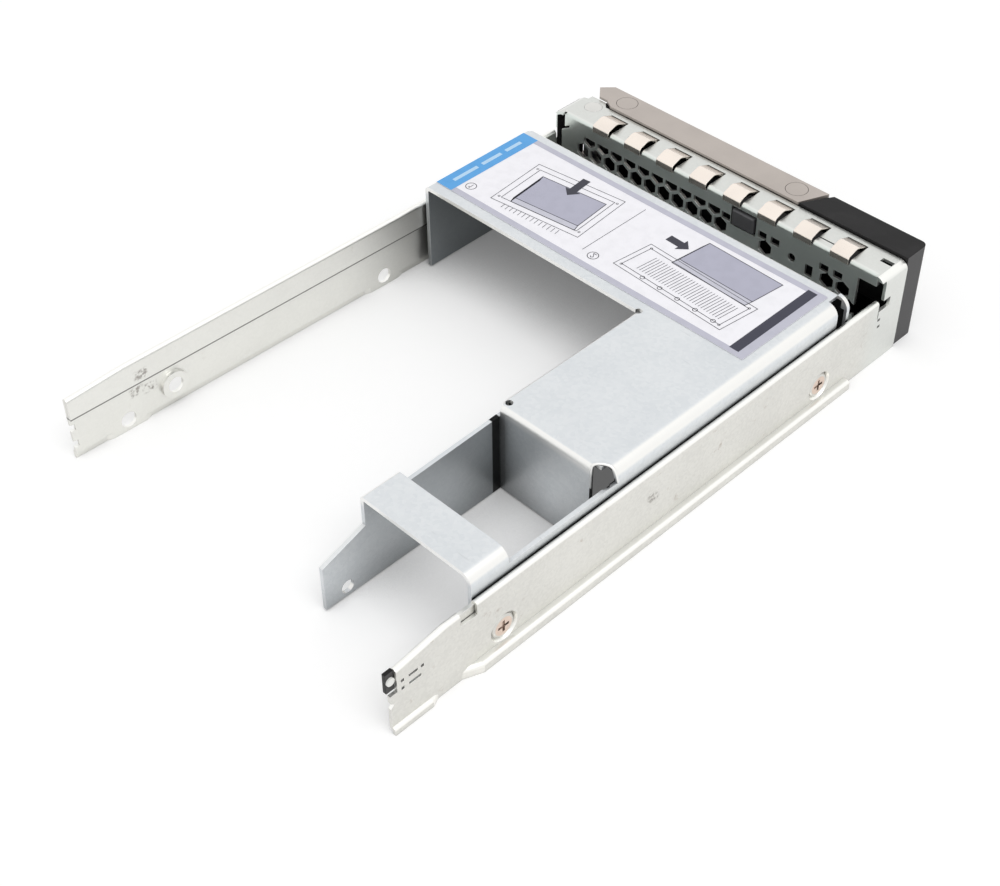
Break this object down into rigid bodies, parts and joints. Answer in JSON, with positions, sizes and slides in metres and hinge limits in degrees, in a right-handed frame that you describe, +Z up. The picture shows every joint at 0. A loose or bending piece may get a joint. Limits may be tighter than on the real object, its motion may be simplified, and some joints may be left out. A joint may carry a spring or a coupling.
{
  "type": "hot swap drive caddy",
  "caption": "Sheet-metal drive tray with a folded 2.5-inch adapter, perforated front bracket, spring fingers, swinging front handle and release button.",
  "frame": {"origin": "middle of the front bracket's bottom flange, on the surface that the caddy lies on", "axes": "+X from the near rail to the far rail, +Y from the bezel to the rear, +Z up"},
  "size_m": [0.1099, 0.1706, 0.0267],
  "materials": {
    "tray_steel": "galvanised, satin",
    "adapter_steel": "galvanised, satin",
    "finger_steel": "bright, warm",
    "screw_zinc": "zinc plated",
    "spring_steel": "bright",
    "pin_steel": "swaged",
    "handle_finish": "champagne metallic paint",
    "bezel_plastic": "satin black",
    "button_plastic": "satin dark grey",
    "clear_plastic": "clear",
    "inlet_plastic": "bright",
    "label_film": "printed film"
  },
  "bodies": {
    "tray": {"tray_frame": "tray_steel", "shield_fingers": "finger_steel", "adapter_bracket": "adapter_steel", "adapter_label": "label_film", "screw_near_front": "screw_zinc", "screw_near_rear": "screw_zinc", "screw_far_front": "screw_zinc", "bezel_body": "bezel_plastic", "bezel_carrier": "bezel_plastic", "button_spring": "spring_steel", "handle_pin": "pin_steel", "handle_spring": "spring_steel", "light_guide": "clear_plastic", "light_guide_end": "bezel_plastic", "light_inlet": "inlet_plastic", "indicator_lower": "clear_plastic", "indicator_upper": "clear_plastic"},
    "handle": {"handle_body": "handle_finish", "handle_stud_far": "handle_finish", "handle_stud_near": "handle_finish"},
    "button": {"release_button": "button_plastic"},
    "pawl": {"latch_pawl": "bezel_plastic"}
  },
  "joints": [
    {"name": "handle_hinge", "type": "hinge", "parent": "tray", "child": "handle", "pos_m": [0.0446, -0.00227, 0], "axis": [0, 0, 1], "range_deg": [0, 45]},
    {"name": "button_slide", "type": "slide", "parent": "tray", "child": "button", "axis": [0, 1, 0], "range_m": [0, 0.002], "stiffness_N_per_m": 300, "deforming": ["button_spring"]},
    {"name": "pawl_slide", "type": "slide", "parent": "tray", "child": "pawl", "axis": [-1, 0, 0], "range_m": [0, 0.0016]}
  ],
  "couplings": [
    {"joint": "pawl_slide", "follows": "button_slide", "ratio": 0.8}
  ]
}
